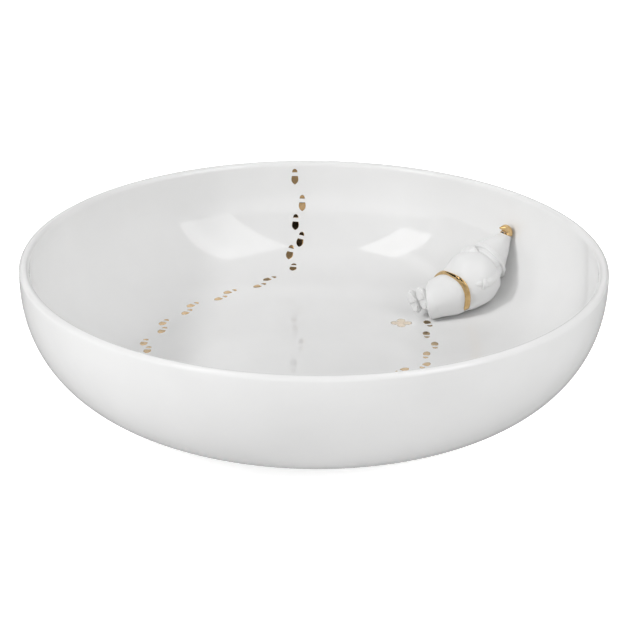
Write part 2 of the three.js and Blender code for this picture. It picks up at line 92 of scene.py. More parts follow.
# Curves
def catmull_rom(points, place, centripetal=True):
    """Point of a Catmull-Rom curve, with place from 0 to 1 over all its points."""
    last = len(points) - 1
    at = min(max(place, 0.0), 1.0) * last
    index = min(int(at), last - 1)
    weight = at - index
    start, end = points[index], points[index + 1]
    if index > 0:
        before = points[index - 1]
    else:
        before = 2 * start - end if centripetal else start
    if index + 2 <= last:
        after = points[index + 2]
    else:
        after = 2 * end - start if centripetal else end
    if centripetal:
        gap_before = math.sqrt(np.linalg.norm(start - before))
        gap = math.sqrt(np.linalg.norm(end - start))
        gap_after = math.sqrt(np.linalg.norm(after - end))
        leave = (start - before) / gap_before - (end - before) / (gap_before + gap) + (end - start) / gap
        reach = (end - start) / gap - (after - start) / (gap + gap_after) + (after - end) / gap_after
        leave, reach = leave * gap, reach * gap
    else:
        leave, reach = (end - before) / 2, (after - start) / 2
    square, cube = weight ** 2, weight ** 3
    bend = -3 * start + 3 * end - 2 * leave - reach
    return start + leave * weight + bend * square + (2 * start - 2 * end + leave + reach) * cube


def unit(vector):
    return vector / np.linalg.norm(vector)


def smooth_step(value, low, high):
    share = np.clip((value - low) / (high - low), 0.0, 1.0)
    return share * share * (3 - 2 * share)


def bump(value, middle, width):
    return np.exp(-((value - middle) / width) ** 2)


# Bowl's inside surface
def wall_curve(flat_radius, top_radius, bottom, share):
    angle = np.asarray(share) * QUARTER_TURN
    power = 2 / WALL_ROUNDNESS
    radius = flat_radius + (top_radius - flat_radius) * np.sin(angle) ** power
    height = LIP_HEIGHT - (LIP_HEIGHT - bottom) * np.clip(np.cos(angle), 0, 1) ** power
    return np.stack([radius, height], axis=-1)


def inner_wall(share):
    return wall_curve(FLOOR_RADIUS, INNER_RIM_RADIUS, FLOOR_HEIGHT, share)


def outer_wall(share):
    return wall_curve(BASE_RADIUS, RIM_RADIUS, FOOT_HEIGHT, share)


PATH_SAMPLES = 4000
inside_path = np.vstack([[0.0, FLOOR_HEIGHT], inner_wall(np.linspace(0, 1, PATH_SAMPLES + 1))])
inside_steps = np.linalg.norm(np.diff(inside_path, axis=0), axis=1)
inside_lengths = np.concatenate([[0.0], np.cumsum(inside_steps)])
inside_length = inside_lengths[-1]

WALL_SAMPLES = 700
sample_lengths = np.linspace(0, inside_length, WALL_SAMPLES)
wall_points = np.stack([np.interp(sample_lengths, inside_lengths, inside_path[:, i]) for i in (0, 1)], axis=1)
wall_ways = np.gradient(wall_points, axis=0)
wall_ways /= np.linalg.norm(wall_ways, axis=1)[:, None]
wall_normals = np.stack([-wall_ways[:, 1], wall_ways[:, 0]], axis=1)


def inside_place(azimuth, down):
    """Point and normal of the inside surface."""
    length = inside_length - down
    radius, height = (np.interp(length, sample_lengths, wall_points[:, i]) for i in (0, 1))
    inward, upward = (np.interp(length, sample_lengths, wall_normals[:, i]) for i in (0, 1))
    outward = np.array([math.cos(azimuth), math.sin(azimuth), 0.0])
    above = np.array([0.0, 0.0, 1.0])
    return outward * radius + above * height, unit(outward * inward + above * upward)


def wall_feet(points):
    """For each point, the foot on the inside profile, the normal there and the height above it."""
    profile = np.stack([np.hypot(points[:, 0], points[:, 1]), points[:, 2]], axis=1)
    gaps = ((profile[:, None, :] - wall_points[None, :, :]) ** 2).sum(axis=2)
    nearest = gaps.argmin(axis=1)
    normals = wall_normals[nearest]
    heights = ((profile - wall_points[nearest]) * normals).sum(axis=1)
    return profile - normals * heights[:, None], normals, heights


def off_wall(points, feet, normals, heights):
    profile = feet + normals * np.asarray(heights)[:, None]
    radius, height = profile.T
    azimuths = np.arctan2(points[:, 1], points[:, 0])
    return np.stack([radius * np.cos(azimuths), radius * np.sin(azimuths), height], axis=1)


def press_on_wall(points):
    """Moves what would be in the wall onto it."""
    feet, normals, heights = wall_feet(points)
    return off_wall(points, feet, normals, np.maximum(heights, PRESS_GAP))


# Gnome's spine
def spine_centre(station):
    down, aside, radius = catmull_rom(SPINE_STATIONS, station / LAST_STATION)
    rim_radius = np.interp(inside_length - down, inside_lengths, inside_path[:, 0])
    position, normal = inside_place(GNOME_AZIMUTH + aside / rim_radius, down)
    return position + normal * (radius + WALL_CLEARANCE), normal, radius


STATION_STEP = 0.02
ROUTE_SAMPLES = 200


class Frame:
    """A place with its ways towards the hat, to the left and out of the front."""

    def __init__(self, centre, towards, left, front, radius, station_length=1.0):
        self.centre = centre
        self.towards = towards
        self.left = left
        self.front = front
        self.radius = radius
        self.station_length = station_length

    def point(self, left, front, along=0.0):
        return self.centre + self.left * left + self.front * front + self.towards * along

    def points(self, left, front, along=0.0):
        shares = np.stack(np.broadcast_arrays(left, front, along), axis=-1)
        return self.centre + shares @ np.stack([self.left, self.front, self.towards])


def spine_frame(station):
    here = min(max(station, STATION_STEP), LAST_STATION - STATION_STEP)
    centre, normal, radius = spine_centre(station)
    ahead = spine_centre(here + STATION_STEP)[0]
    behind = spine_centre(here - STATION_STEP)[0]
    towards = unit(ahead - behind)
    left = unit(np.cross(towards, normal))
    front = unit(np.cross(left, towards))
    return Frame(centre, towards, left, front, radius, np.linalg.norm(ahead - behind) / (2 * STATION_STEP))


def turned(vector, axis, angle):
    """A vector at right angles to an axis, turned about it."""
    return vector * math.cos(angle) + np.cross(axis, vector) * math.sin(angle)


def turned_about(vector, axis, angle):
    """Any vector, turned about an axis."""
    upright = axis * vector.dot(axis)
    return upright + turned(vector - upright, axis, angle)


GNOME_TURN = math.radians(-30)


def gnome_frame(station):
    """The body's frame turned about the spine, with the face towards the bowl's left."""
    here = spine_frame(station)
    here.left = turned(here.left, here.towards, GNOME_TURN)
    here.front = turned(here.front, here.towards, GNOME_TURN)
    return here


def route_frames(route, steps, start_left):
    """Frames at even distances along a Catmull-Rom route, turned as little as possible."""
    fine = np.array([catmull_rom(route, i / ROUTE_SAMPLES) for i in range(ROUTE_SAMPLES + 1)])
    lengths = np.concatenate([[0.0], np.cumsum(np.linalg.norm(np.diff(fine, axis=0), axis=1))])
    wanted = np.linspace(0, lengths[-1], steps + 1)
    centres = np.stack([np.interp(wanted, lengths, fine[:, i]) for i in range(3)], axis=1)
    ways = np.gradient(centres, axis=0)
    frames = []
    left = start_left
    for centre, way in zip(centres, ways):
        towards = unit(way)
        left = unit(left - towards * left.dot(towards))
        frames.append(Frame(centre, towards, left, np.cross(left, towards), 1.0))
    return frames


# Meshes
def ring_angles(sides):
    return np.arange(sides) * FULL_TURN / sides


def skin(rings, start_pole, end_pole):
    """Closed skin over rings of points with a pole at each end."""
    rings = np.asarray(rings)
    count, sides = rings.shape[:2]
    points = np.vstack([start_pole, rings.reshape(-1, 3), end_pole])
    faces = []
    last = 1 + (count - 1) * sides
    for k in range(sides):
        after = (k + 1) % sides
        faces.append((0, 1 + after, 1 + k))
        for i in range(count - 1):
            a, b = 1 + i * sides, 1 + (i + 1) * sides
            faces.append((a + k, a + after, b + after, b + k))
        faces.append((last + k, last + after, len(points) - 1))
    return points, faces


def add_piece(name, shells, material, slot, *nodes):
    """Makes one smooth object of closed shells and fixes it to the bowl."""
    points = np.vstack([shell[0] for shell in shells]) * MM
    faces = []
    start = 0
    for shell_points, shell_faces in shells:
        faces += [tuple(start + corner for corner in face) for face in shell_faces]
        start += len(shell_points)
    mesh = bpy.data.meshes.new(name)
    mesh.from_pydata(points.tolist(), [], faces)
    work = bmesh.new()
    work.from_mesh(mesh)
    bmesh.ops.recalc_face_normals(work, faces=work.faces)
    work.to_mesh(mesh)
    work.free()
    mesh.polygons.foreach_set("use_smooth", [True] * len(mesh.polygons))
    mesh.materials.append(material)
    piece = bpy.data.objects.new(name, mesh)
    bpy.context.scene.collection.objects.link(piece)
    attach(piece, "root")
    if nodes:
        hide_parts(*nodes)
    return piece


# Materials, with noise scales per metre and depths in metres
NOISE_LOW = 0.3
NOISE_HIGH = 0.7
CLOUD_SCALE = 22.0
CLOUD_SHADE = 0.965
BREATH_SCALE = 60.0
SWELL_SCALE = 45.0
SWELL_DEPTH = 0.00006
PEEL_SCALE = 420.0
PEEL_DEPTH = 0.000006
# Painted shade: the faint cool grey that darkens the figure's creases
CREASE_SHADE_TINT = (0.96, 0.962, 0.965)
GLAZE_IOR = 1.52
GRAIN_SCALE = 900.0
GRAIN_DEPTH = 0.00012
BISQUE_DEEP = (0.66, 0.63, 0.58)
BISQUE_PALE = (0.8, 0.77, 0.72)
BRUSH_SCALE = 380.0
WAVE_SCALE = 500.0
FILM_DULLNESS = (0.1, 0.2)
FILM_WAVES = 0.00002
RELIEF_DULLNESS = (0.04, 0.09)
RELIEF_WAVES = 0.0002


def new_material(name):
    material = bpy.data.materials.new(name)
    material.use_nodes = True
    nodes, links = material.node_tree.nodes, material.node_tree.links
    shader = nodes["Principled BSDF"]
    place = nodes.new("ShaderNodeTexCoord").outputs["Object"]
    return material, nodes, links, shader, place


def add_noise(nodes, links, place, scale, detail=3.0):
    noise = nodes.new("ShaderNodeTexNoise")
    noise.inputs["Scale"].default_value = scale
    noise.inputs["Detail"].default_value = detail
    links.new(place, noise.inputs["Vector"])
    return noise.outputs["Fac"]


def add_ramp(nodes, links, value, low, high):
    ramp = nodes.new("ShaderNodeValToRGB")
    (start, low_colour), (end, high_colour) = low, high
    ramp.color_ramp.elements[0].position = start
    ramp.color_ramp.elements[0].color = (*low_colour, 1)
    ramp.color_ramp.elements[1].position = end
    ramp.color_ramp.elements[1].color = (*high_colour, 1)
    links.new(value, ramp.inputs["Fac"])
    return ramp.outputs["Color"]


def add_range(nodes, links, value, low, high):
    spread = nodes.new("ShaderNodeMapRange")
    spread.inputs["From Min"].default_value = NOISE_LOW
    spread.inputs["From Max"].default_value = NOISE_HIGH
    spread.inputs["To Min"].default_value = low
    spread.inputs["To Max"].default_value = high
    links.new(value, spread.inputs["Value"])
    return spread.outputs["Result"]


def add_bump(nodes, links, shader, *layers):
    """Bump from noise layers given as (height, metres deep)."""
    normal = None
    for height, depth in layers:
        bump_node = nodes.new("ShaderNodeBump")
        bump_node.inputs["Distance"].default_value = depth
        links.new(height, bump_node.inputs["Height"])
        if normal:
            links.new(normal, bump_node.inputs["Normal"])
        normal = bump_node.outputs["Normal"]
    links.new(normal, shader.inputs["Normal"])


def multiply_colours(nodes, links, first, second):
    mix = nodes.new("ShaderNodeMix")
    mix.data_type = "RGBA"
    mix.blend_type = "MULTIPLY"
    mix.inputs["Factor"].default_value = 1.0
    links.new(first, mix.inputs["A"])
    links.new(second, mix.inputs["B"])
    return mix.outputs["Result"]


def glaze_material(name, white, dullness, shade_creases):
    """Clear glaze over white porcelain, slightly uneven, and if wanted darkened a little in its creases with
    a faint cool painted shade.
    """
    material, nodes, links, shader, place = new_material(name)
    shade = tuple(value * CLOUD_SHADE for value in white)
    clouds = add_noise(nodes, links, place, CLOUD_SCALE)
    colour = add_ramp(nodes, links, clouds, (0.35, shade), (0.62, white))
    if shade_creases:
        # Painted shade: hollow places, where the pointiness is low, get a darker colour
        point = nodes.new("ShaderNodeNewGeometry").outputs["Pointiness"]
        crease_shade = add_ramp(nodes, links, point, (0.42, CREASE_SHADE_TINT), (0.5, (1, 1, 1)))
        colour = multiply_colours(nodes, links, colour, crease_shade)
    links.new(colour, shader.inputs["Base Color"])
    breath = add_noise(nodes, links, place, BREATH_SCALE)
    links.new(add_range(nodes, links, breath, *dullness), shader.inputs["Roughness"])
    shader.inputs["IOR"].default_value = GLAZE_IOR
    swell = add_noise(nodes, links, place, SWELL_SCALE, 1.0)
    peel = add_noise(nodes, links, place, PEEL_SCALE, 2.0)
    add_bump(nodes, links, shader, (swell, SWELL_DEPTH), (peel, PEEL_DEPTH))
    return material


def bisque_material():
    """Unglazed ring that the bowl stood on in the kiln."""
    material, nodes, links, shader, place = new_material("bisque")
    grains = add_noise(nodes, links, place, GRAIN_SCALE)
    colour = add_ramp(nodes, links, grains, (NOISE_LOW, BISQUE_DEEP), (NOISE_HIGH, BISQUE_PALE))
    links.new(colour, shader.inputs["Base Color"])
    links.new(add_range(nodes, links, grains, 0.7, 0.9), shader.inputs["Roughness"])
    add_bump(nodes, links, shader, (grains, GRAIN_DEPTH))
    return material


def gold_material(name, deep, bright, dullness, waves):
    """Fired gold lustre: a mirror film that is a little uneven, as it was brushed on."""
    material, nodes, links, shader, place = new_material(name)
    brushed = add_noise(nodes, links, place, BRUSH_SCALE)
    links.new(add_ramp(nodes, links, brushed, (0.35, deep), (0.65, bright)), shader.inputs["Base Color"])
    shader.inputs["Metallic"].default_value = 1.0
    links.new(add_range(nodes, links, brushed, *dullness), shader.inputs["Roughness"])
    add_bump(nodes, links, shader, (add_noise(nodes, links, place, WAVE_SCALE, 2.0), waves))
    return material


PORCELAIN_WHITE = (0.8, 0.8, 0.797)
bowl_glaze = glaze_material("bowl_glaze", PORCELAIN_WHITE, (0.02, 0.05), False)
# The figure's glaze darkens its creases with painted shade
figure_glaze = glaze_material("figure_glaze", PORCELAIN_WHITE, (0.28, 0.38), True)
bisque = bisque_material()
# One gold lustre in two copies: darker for the wall prints, painted shade, and lighter for the floor, return
# and hidden prints, painted light
wall_gold_painted_shade = gold_material("wall_gold_painted_shade", (0.4, 0.27, 0.14), (0.52, 0.35, 0.18), FILM_DULLNESS, FILM_WAVES)
floor_gold_painted_light = gold_material("floor_gold_painted_light", (0.58, 0.43, 0.26), (0.7, 0.53, 0.34), FILM_DULLNESS, FILM_WAVES)
pale_gold = gold_material("pale_gold", (0.7, 0.6, 0.48), (0.82, 0.72, 0.6), FILM_DULLNESS, FILM_WAVES)
relief_gold = gold_material("relief_gold", (0.6, 0.4, 0.17), (0.78, 0.55, 0.28), RELIEF_DULLNESS,
                            RELIEF_WAVES)


# Bowl
def arc(centre, radius, start, end, steps):
    angles = np.linspace(start, end, steps + 1)
    return np.stack([centre[0] + radius * np.cos(angles), centre[1] + radius * np.sin(angles)], axis=1)


def bowl_profile():
    foot_outer = BASE_RADIUS - FOOT_INSET
    foot_inner = foot_outer - FOOT_WIDTH
    half = FOOT_ROUNDING / 2
    under_radii = np.linspace(POLE_RADIUS, foot_inner - FOOT_ROUNDING, UNDER_STEPS)
    under = np.stack([under_radii, np.full_like(under_radii, FOOT_HEIGHT)], axis=1)
    foot = np.vstack([
        arc((foot_inner - half, FOOT_HEIGHT - half), half, QUARTER_TURN, 0, FOOT_STEPS),
        arc((foot_inner + half, half), half, math.pi, 3 * QUARTER_TURN, FOOT_STEPS),
        arc((foot_outer - half, half), half, -QUARTER_TURN, 0, FOOT_STEPS),
        arc((foot_outer + half, FOOT_HEIGHT - half), half, math.pi, QUARTER_TURN, FOOT_STEPS),
    ])
    outside = outer_wall(np.linspace(0, 1, WALL_STEPS + 1)[1:])
    lip = arc((RIM_RADIUS - WALL_THICKNESS / 2, LIP_HEIGHT), WALL_THICKNESS / 2, 0, math.pi, LIP_STEPS)[1:-1]
    inside = inner_wall(np.linspace(1, 0, WALL_STEPS * 2 + 1))
    floor_radii = np.linspace(FLOOR_RADIUS, POLE_RADIUS, FLOOR_STEPS)[1:]
    floor = np.stack([floor_radii, np.full_like(floor_radii, FLOOR_HEIGHT)], axis=1)
    return np.vstack([under, foot, outside, lip, inside, floor])


def make_bowl():
    profile = bowl_profile()
    angles = ring_angles(BOWL_SEGMENTS)
    rings = np.stack([
        profile[:, :1] * np.cos(angles),
        profile[:, :1] * np.sin(angles),
        np.repeat(profile[:, 1:], BOWL_SEGMENTS, axis=1),
    ], axis=2)
    shell = skin(rings, (0, 0, FOOT_HEIGHT), (0, 0, FLOOR_HEIGHT))
    bowl = add_piece("porcelain_bowl", [shell], bowl_glaze, "bowl_glaze", "bowl")
    bowl.data.materials.append(bisque)
    stand_height = FOOT_ROUNDING * STAND_SHARE * MM
    for face in bowl.data.polygons:
        if face.center.z < stand_height:
            face.material_index = 1


# Gold shoe prints and clover
SOLE_LENGTH = 4.1
SOLE_WIDTH = 3.5
HEEL_LENGTH = 1.8
HEEL_WIDTH = 2.5
INSTEP_GAP = 1.8
STANCE_WIDTH = 3.2
# shares of a sole's half width and length, and of a heel's length
SOLE_BACK = 0.78
SOLE_BULGE = 1.1
SOLE_TOE = 0.95
BULGE_AT = 0.45
TOE_AT = 0.8
HEEL_ROUNDNESS = 1.3
# films of gold: share of the outline, height above the glaze
FILM_LAYERS = ((1.0, 0.03), (1.0, 0.06), (0.93, 0.09), (0.8, 0.105), (0.4, 0.11))
FILM_TOP = FILM_LAYERS[-1][1]
RIGHT_FOOT = 1
LEFT_FOOT = -1
# name, prints, pace, stagger, first foot, route of (azimuth in degrees, down the wall)
TRAIL = (
    ("wall", 6, 0.77, 0, RIGHT_FOOT, ((93.7, 6.5), (93.6, 20), (93.9, 32), (95.6, 44), (96.6, 50))),
    ("floor", 10, 1, 1.5, RIGHT_FOOT, ((101.8, 55.9), (110.7, 60), (121, 62.8), (131, 64.9), (142, 68.2),
                                       (152.5, 71), (165, 74))),
    ("return", 6, 1, 0, LEFT_FOOT, ((9.8, 110), (17.6, 100.5), (27.3, 93.2), (37, 86), (44.3, 79),
                                    (49.1, 75.5))),
)
CLOVER_AZIMUTH = math.radians(55.7)
CLOVER_DOWN = 81
CLOVER_RADIUS = 4.8
CLOVER_HEART = 0.22
CLOVER_FULLNESS = 0.45
CLOVER_LEAVES = 4
CLOVER_POINTS = 120
TRAIL_SAMPLES = 240
# Low on the wall and on the floor, prints are squeezed so that they look level from the front
LEVEL_FROM = 44
LEVEL_TO = 52
SIGHT_ANGLE = math.radians(21.7)
SIGHT = np.array([0.0, math.cos(SIGHT_ANGLE), -math.sin(SIGHT_ANGLE)])
# The stretch between floor and return, which the bowl's front hides in the photograph
HIDDEN_STEPS = 14
HIDDEN_ROUTE = ((165, 74), (173.6, 80.3), (187, 87.3), (203.7, 97.2), (225, 109.4), (255, 120.8),
                (298.6, 126.7), (344, 122.7), (369.8, 110))


def bezier(start, first, second, end, steps=12):
    share = np.linspace(0, 1, steps + 1)[:-1, None]
    rest = 1 - share
    start, first, second, end = (np.array(point, float) for point in (start, first, second, end))
    outer = start * rest ** 3 + end * share ** 3
    return outer + (first * rest + second * share) * 3 * rest * share


def line(start, end, steps=8):
    share = np.linspace(0, 1, steps + 1)[:-1, None]
    return np.array(start) * (1 - share) + np.array(end) * share


def sole_outline(width, length):
    back, bulge, toe = (width / 2 * share for share in (SOLE_BACK, SOLE_BULGE, SOLE_TOE))
    return np.vstack([
        line((-back, 0), (back, 0)),
        bezier((back, 0), (bulge, length * BULGE_AT), (toe, length * TOE_AT), (0, length)),
        bezier((0, length), (-toe, length * TOE_AT), (-bulge, length * BULGE_AT), (-back, 0)),
    ])


def heel_outline(width, length):
    half = width / 2
    depth = length * HEEL_ROUNDNESS
    return np.vstack([
        line((-half, 0), (half, 0)),
        bezier((half, 0), (half, -depth), (-half, -depth), (-half, 0), 20),
    ])


def clover_outline():
    angles = ring_angles(CLOVER_POINTS)
    leaf = np.abs(np.cos(CLOVER_LEAVES * angles / 2)) ** CLOVER_FULLNESS
    radius = CLOVER_RADIUS * (CLOVER_HEART + (1 - CLOVER_HEART) * leaf)
    return np.stack([np.cos(angles) * radius, np.sin(angles) * radius], axis=1)


def level_way(x, y, normal):
    """The way on the surface that looks from the front like the given level way."""
    way = np.array([x, y, 0.0])
    return way - SIGHT * way.dot(normal) / SIGHT.dot(normal)


class Seat:
    """A place on the inside surface with its ways across and ahead."""

    def __init__(self, azimuth, down, forward):
        self.position, normal = inside_place(azimuth, down)
        across = unit(np.cross(forward, normal))
        ahead = np.cross(normal, across)
        level = unit(forward - SIGHT * forward[2] / SIGHT[2])
        share = smooth_step(down, LEVEL_FROM, LEVEL_TO)
        self.across = across + (level_way(level[1], -level[0], normal) - across) * share
        self.ahead = ahead + (level_way(level[0], level[1], normal) - ahead) * share

    def film(self, outline):
        """A thin domed film of gold on the glaze."""
        middle = outline.mean(axis=0)
        rings = []
        for share, lift in FILM_LAYERS:
            flat = middle + (outline - middle) * share
            rings.append(self.on_glaze(flat, lift))
        base = self.on_glaze(middle[None], FILM_LAYERS[0][1])
        top = self.on_glaze(middle[None], FILM_TOP)
        return skin(rings, base, top)

    def on_glaze(self, flat, lift):
        points = self.position + flat[:, :1] * self.across + flat[:, 1:] * self.ahead
        feet, normals, _ = wall_feet(points)
        return off_wall(points, feet, normals, np.full(len(points), lift))


def route_places(route):
    points = np.array(route, float)
    places = []
    length = 0.0
    for i in range(TRAIL_SAMPLES + 1):
        azimuth, down = catmull_rom(points, i / TRAIL_SAMPLES, centripetal=False)
        azimuth = math.radians(azimuth)
        position = inside_place(azimuth, down)[0]
        if places:
            length += np.linalg.norm(position - places[-1][2])
        places.append((azimuth, down, position, length))
    return places


def add_print(name, number, foot, places, wanted, cad):
    index = next(i for i, place in enumerate(places) if i > 0 and place[3] >= wanted)
    azimuth, down, position, _ = places[index]
    seat = Seat(azimuth, down, unit(position - places[index - 1][2]))
    shoe = np.array([foot * STANCE_WIDTH / 2, -SOLE_LENGTH / 2])
    # Wall prints get the darker copy of the gold, painted shade; the other prints the lighter copy, painted
    # light
    gold = wall_gold_painted_shade if name == "wall" else floor_gold_painted_light
    outlines = (
        ("sole", sole_outline(SOLE_WIDTH, SOLE_LENGTH)),
        ("heel", heel_outline(HEEL_WIDTH, HEEL_LENGTH) - (0, INSTEP_GAP)),
    )
    for part, outline in outlines:
        node = f"{name}_print_{part}_{number}"
        nodes = [node] if cad else []
        add_piece(f"gilt_{node}", [seat.film(outline + shoe)], gold, "gold_lustre", *nodes)


def make_trail():
    for name, count, pace, stagger, first_foot, route in TRAIL:
        places = route_places(route)
        total = places[-1][3]
        for i in range(count):
            foot = first_foot if i % 2 == 0 else -first_foot
            wanted = min(max(total * (i / (count - 1)) ** pace + foot * stagger, 0.0), total - 1e-6)
            add_print(name, i + 1, foot, places, wanted, True)
    places = route_places(HIDDEN_ROUTE)
    for i in range(1, HIDDEN_STEPS):
        foot = RIGHT_FOOT if i % 2 == 1 else LEFT_FOOT
        add_print("hidden", i, foot, places, places[-1][3] * i / HIDDEN_STEPS, False)
    away = np.array([0.0, 1.0, 0.0])
    clover = Seat(CLOVER_AZIMUTH, CLOVER_DOWN, away).film(clover_outline())
    add_piece("gilt_clover", [clover], pale_gold, "gold_lustre", "clover_print")


# Gnome
HEM_STATION = 0.0
HEM_REACH = 2.4
HEM_RADIUS = 7.9
HEM_SLANT = math.radians(16)
HEM_TURN = math.radians(138)
HEM_CAP = 1.5
COLLAR_STATION = 2.65
COLLAR_CAP = 4.0
BELT_STATION = 0.875
# waves in the belt's course: count, lift and turn
BELT_WAVES = ((1, 0.53, math.radians(166)), (2, 0.24, math.radians(120)))
BELT_WIDTH = 2.1
BELT_THICKNESS = 0.8
BELT_SINK = 0.9
BELT_FROM = math.radians(-42)
BELT_TO = math.radians(222)
BELT_STEPS = 120
BELT_END_STEPS = 6
# waves across the belt in the coat: lift, middle and width
WAIST_WAVES = ((-0.35, 0, 1.7), (0.2, -3.4, 2.2), (0.12, 3.2, 2.0))
COAT_FOLD = 0.06
COAT_FOLDS = 5
HEAD_STATION = 3.05
HEAD_RADIUS = 8.6
NOSE_STATION = 3.35
NOSE_RADIUS = 2.1
NOSE_SINK = 0.2
BEARD_STATION = 2.5
BEARD_SINK = 2.2
BEARD_SIZE = (6.0, 4.0, 4.75)
WHISKER_ASIDE = 2.2
WHISKER_SINK = 1.6
WHISKER_DROP = 2.6
WHISKER_SIZE = (2.8, 1.3, 1.2)
BRIM_STATION = 3.51
BRIM_TILT = math.radians(17)
BRIM_ROLL = 0.36
BRIM_WIDTH = 2.6
BRIM_CREASE = 0.07
# the brim's underside: out from the roll, along the hat
BRIM_TURN = ((-3.0, -0.2), (-1.3, -0.9), (-0.3, -0.75), (0.25, -0.3))
HAT_FOLD = 0.06
HAT_END_TURNS = (0.4, 0.9, 1.3)
HAT_END_ROUNDNESS = 0.35
HAT_END_CAP = 1.5
TIP_START = 1.1
TIP_REACH = 1.6
TIP_BEND = 5.8
TIP_DROOP = 1.7
TIP_END = 0.4
TIP_OVERLAP = 0.22
TIP_SWELL = 0.2
TIP_BLUNTNESS = 0.7
SLEEVE_RADIUS = 2.7
SLEEVE_SINK = 0.7
SLEEVE_FOLD = 0.07
SHOULDER_CAP = 2.0
SHOULDER_TURNS = (1.2, 0.8, 0.4)
CUFF_ROLL = 0.45
CUFF_GROOVE = 0.15
# the cuff's edge: out from the sleeve, along the arm
CUFF_EDGE = ((0.3, 0.4), (-0.2, 0.55), (-0.9, 0.3))
MITTEN_RADIUS = 2.4
MITTEN_REACH = 1.5
THUMB_SIZE = (0.95, 0.95, 1.7)
THUMB_LIFT = 0.55
THUMB_SPREAD = 0.5
THUMB_REACH = 0.8
SIDES = {"left": 1, "right": -1}
# shoulder to wrist: station, turn from the flank to the front, sink into the coat
ARM_PLACES = {
    "left": ((2.75, -30, 1.4), (2.45, -28, 1.3), (2.2, -24, 1.2), (2.05, -19, 1.2), (1.97, -14, 1.2)),
    "right": ((2.75, 2, 1.4), (2.45, 4, 1.3), (2.2, 8, 1.2), (2.05, 13, 1.2), (1.97, 18, 1.2)),
}


def body_outline(angles):
    """Left and front shares of the body's section: round in front, squarer where it lies on the wall."""
    left, front = -np.cos(angles), np.sin(angles)
    behind = np.clip(-front, 0, 1)
    swell = 1 + 0.1 * np.sin(2 * np.arcsin(behind)) ** 2
    return left * swell, front * swell


def belt_middle(angles):
    """The belt hangs aslant: nearest to the hat in front of the left flank."""
    return BELT_STATION + sum(lift * np.cos(count * (angles - turn)) for count, lift, turn in BELT_WAVES)


def belt_steepness(here, angles):
    """How much longer the belt's section is along the body than straight across the belt."""
    step = 0.05
    climb = (belt_middle(angles + step) - belt_middle(angles - step)) / (2 * step)
    return np.hypot(1, climb * here.station_length / here.radius)


def coat_radius(here, station, angles):
    """Coat's radius: drawn in a little under the belt, with faint folds towards the hem."""
    off_belt = (station - belt_middle(angles)) * here.station_length / belt_steepness(here, angles)
    drawn = sum(lift * bump(off_belt, middle, width) for lift, middle, width in WAIST_WAVES)
    below = smooth_step(-off_belt, 0.5, 7.0)
    folds = COAT_FOLD * below * np.sin(COAT_FOLDS * angles + 0.9 * np.sin(2 * angles + 0.4))
    return here.radius + drawn + folds


def hem_frame(share):
    """From the coat's lowest station, share 0, on to the hem, slanted to be longest on the wall."""
    here = spine_frame(HEM_STATION)
    centre = here.point(0, 0, -HEM_REACH * share)
    axis = turned(here.left, here.towards, HEM_TURN)
    slant = HEM_SLANT * share
    ways = [turned_about(way, axis, slant) for way in (here.towards, here.left, here.front)]
    return Frame(centre, *ways, HEM_RADIUS)


def coat_shell():
    angles = ring_angles(96)
    left, front = body_outline(angles)
    hem = hem_frame(1)
    low_radius = coat_radius(spine_frame(HEM_STATION), HEM_STATION, angles)
    rings = []
    for share in np.linspace(0.97, 0.06, 16):
        turn = share * QUARTER_TURN
        radius = HEM_RADIUS * math.cos(turn) ** 0.8
        rings.append(hem.points(left * radius, front * radius, -HEM_CAP * math.sin(turn)))
    for share in np.linspace(1, 0, 13)[:-1]:
        radius = low_radius + (HEM_RADIUS - low_radius) * share
        rings.append(hem_frame(share).points(left * radius, front * radius))
    for station in np.linspace(HEM_STATION, COLLAR_STATION, 64):
        here = spine_frame(station)
        radius = coat_radius(here, station, angles)
        rings.append(here.points(left * radius, front * radius))
    collar = spine_frame(COLLAR_STATION)
    for share in (0.35, 0.6, 0.85):
        turn = share * QUARTER_TURN
        radius = collar.radius * math.cos(turn)
        rings.append(collar.points(left * radius, front * radius, COLLAR_CAP * math.sin(turn)))
    points, faces = skin(rings, hem.point(0, 0, -HEM_CAP), collar.point(0, 0, COLLAR_CAP))
    return press_on_wall(points), faces


def belt_shell():
    """A rounded band round the front of the coat, which runs out just above the wall."""
    angles = np.linspace(BELT_FROM, BELT_TO, BELT_STEPS)
    turns = ring_angles(20)
    rings = []
    for i, angle in enumerate(angles):
        end_share = min(i, BELT_STEPS - 1 - i) / BELT_END_STEPS
        taper = math.sqrt(max(1 - (1 - min(end_share, 1.0)) ** 2, 0.02))
        middle = float(belt_middle(angle))
        at_middle = spine_frame(middle)
        steepness = float(belt_steepness(at_middle, angle))
        half_width = BELT_WIDTH / 2 * taper * steepness / at_middle.station_length
        ring = []
        for turn in turns:
            across = math.copysign(abs(math.cos(turn)) ** 0.7, math.cos(turn))
            lift = math.copysign(abs(math.sin(turn)) ** 0.8, math.sin(turn))
            here = spine_frame(middle + across * half_width)
            radius = here.radius + (BELT_THICKNESS * lift * taper if lift > 0 else BELT_SINK * lift)
            ring.append(here.point(-math.cos(angle) * radius, math.sin(angle) * radius))
        rings.append(ring)
    rings = np.array(rings)
    points, faces = skin(rings, rings[0].mean(axis=0), rings[-1].mean(axis=0))
    return press_on_wall(points), faces


